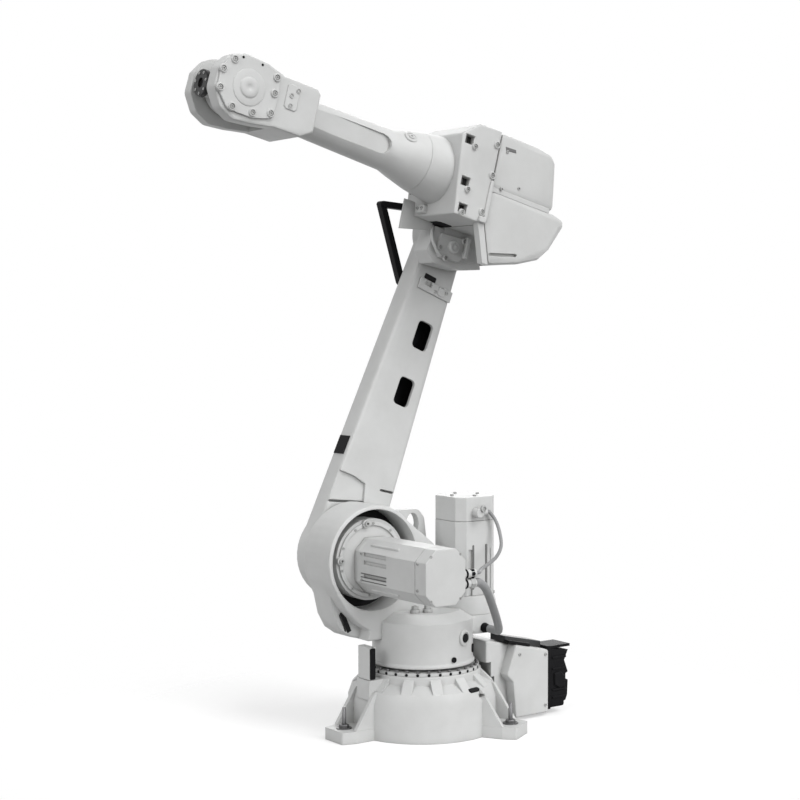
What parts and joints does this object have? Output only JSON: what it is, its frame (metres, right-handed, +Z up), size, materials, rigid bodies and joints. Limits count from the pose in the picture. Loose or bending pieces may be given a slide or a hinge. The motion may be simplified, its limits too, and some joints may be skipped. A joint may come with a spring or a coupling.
{
  "type": "six-axis industrial robot arm",
  "caption": "Floor-mounted six-axis robot arm with cast base, offset lower arm, elbow housing, tubular forearm and forked wrist with a tool flange.",
  "frame": {"origin": "where the first, vertical axis meets the underside of the base, on the floor", "axes": "+X the arm's forward direction, +Y its left, +Z up"},
  "size_m": [1.0587, 0.539, 1.6625],
  "materials": {
    "black_plastic": "matt black moulded plastic and rubber",
    "cable": "light grey cable sheath",
    "dark_plate": "dark grey painted cover plate",
    "robot_paint": "light grey satin paint on cast aluminium and iron",
    "steel": "machined bearing steel",
    "tool_flange": "blackened machined steel"
  },
  "bodies": {
    "base": {"base_casting": "robot_paint", "base_bolt_ring": "robot_paint", "axis1_bearing": "steel", "axis1_stop_post": "robot_paint", "connector_housing": "robot_paint", "connector_top_plate": "dark_plate", "connector_end_cover": "black_plastic", "power_connector": "black_plastic", "signal_connector_1": "black_plastic", "signal_connector_2": "black_plastic", "top_cable_clamp": "black_plastic"},
    "turning_frame": {"frame_casting": "robot_paint", "drum_plug_main": "black_plastic", "drum_plug_oblong": "black_plastic", "drum_plug_small": "black_plastic", "cable_grommet": "black_plastic", "axis1_motor_flange": "robot_paint", "axis1_motor": "robot_paint", "axis1_motor_cap": "robot_paint", "axis1_motor_connector": "robot_paint", "axis1_motor_cable": "cable", "axis2_gear_cover": "robot_paint", "axis2_motor": "robot_paint", "axis2_motor_cap": "robot_paint", "axis2_power_connector": "robot_paint", "axis2_signal_connector": "robot_paint", "axis2_motor_cable": "cable"},
    "lower_arm": {"lower_arm_casting": "robot_paint", "lower_hub_cover": "robot_paint", "elbow_hub_cover": "robot_paint", "arm_front_plug": "black_plastic", "hose_guide": "black_plastic", "arm_cable_clip": "robot_paint"},
    "elbow": {"elbow_casting": "robot_paint", "axis3_gear_housing": "robot_paint", "elbow_cover_lower": "robot_paint", "elbow_cover_upper": "robot_paint", "elbow_bracket": "robot_paint"},
    "forearm": {"forearm_tube": "robot_paint", "wrist_cover_left": "robot_paint", "wrist_cover_right": "robot_paint"},
    "tilt": {"tilt_housing": "robot_paint"},
    "tool": {"tool_flange": "tool_flange"}
  },
  "joints": [
    {"name": "axis1_turn", "type": "hinge", "parent": "base", "child": "turning_frame", "pos_m": [0, 0, 0], "axis": [0, 0, 1], "range_deg": [-180, 180]},
    {"name": "axis2_shoulder", "type": "hinge", "parent": "turning_frame", "child": "lower_arm", "pos_m": [0.15, 0, 0.445], "axis": [0, 1, 0], "range_deg": [-72.76, 177.24]},
    {"name": "axis3_elbow", "type": "hinge", "parent": "lower_arm", "child": "elbow", "pos_m": [-0.19064, 0, 1.27805], "axis": [0, -1, 0], "range_deg": [-67.04, 187.96]},
    {"name": "axis4_forearm_roll", "type": "hinge", "parent": "elbow", "child": "forearm", "pos_m": [0.02521, 0, 1.45165], "axis": [0.9691, 0, 0.2467], "range_deg": [-400, 400]},
    {"name": "axis5_wrist_bend", "type": "hinge", "parent": "forearm", "child": "tilt", "pos_m": [0.55143, 0, 1.58559], "axis": [0, 1, 0], "range_deg": [-126.68, 113.32]},
    {"name": "axis6_tool_roll", "type": "hinge", "parent": "tilt", "child": "tool", "pos_m": [0.63568, 0, 1.59683], "axis": [0.9912, 0, 0.1323], "range_deg": [-400, 400]}
  ]
}
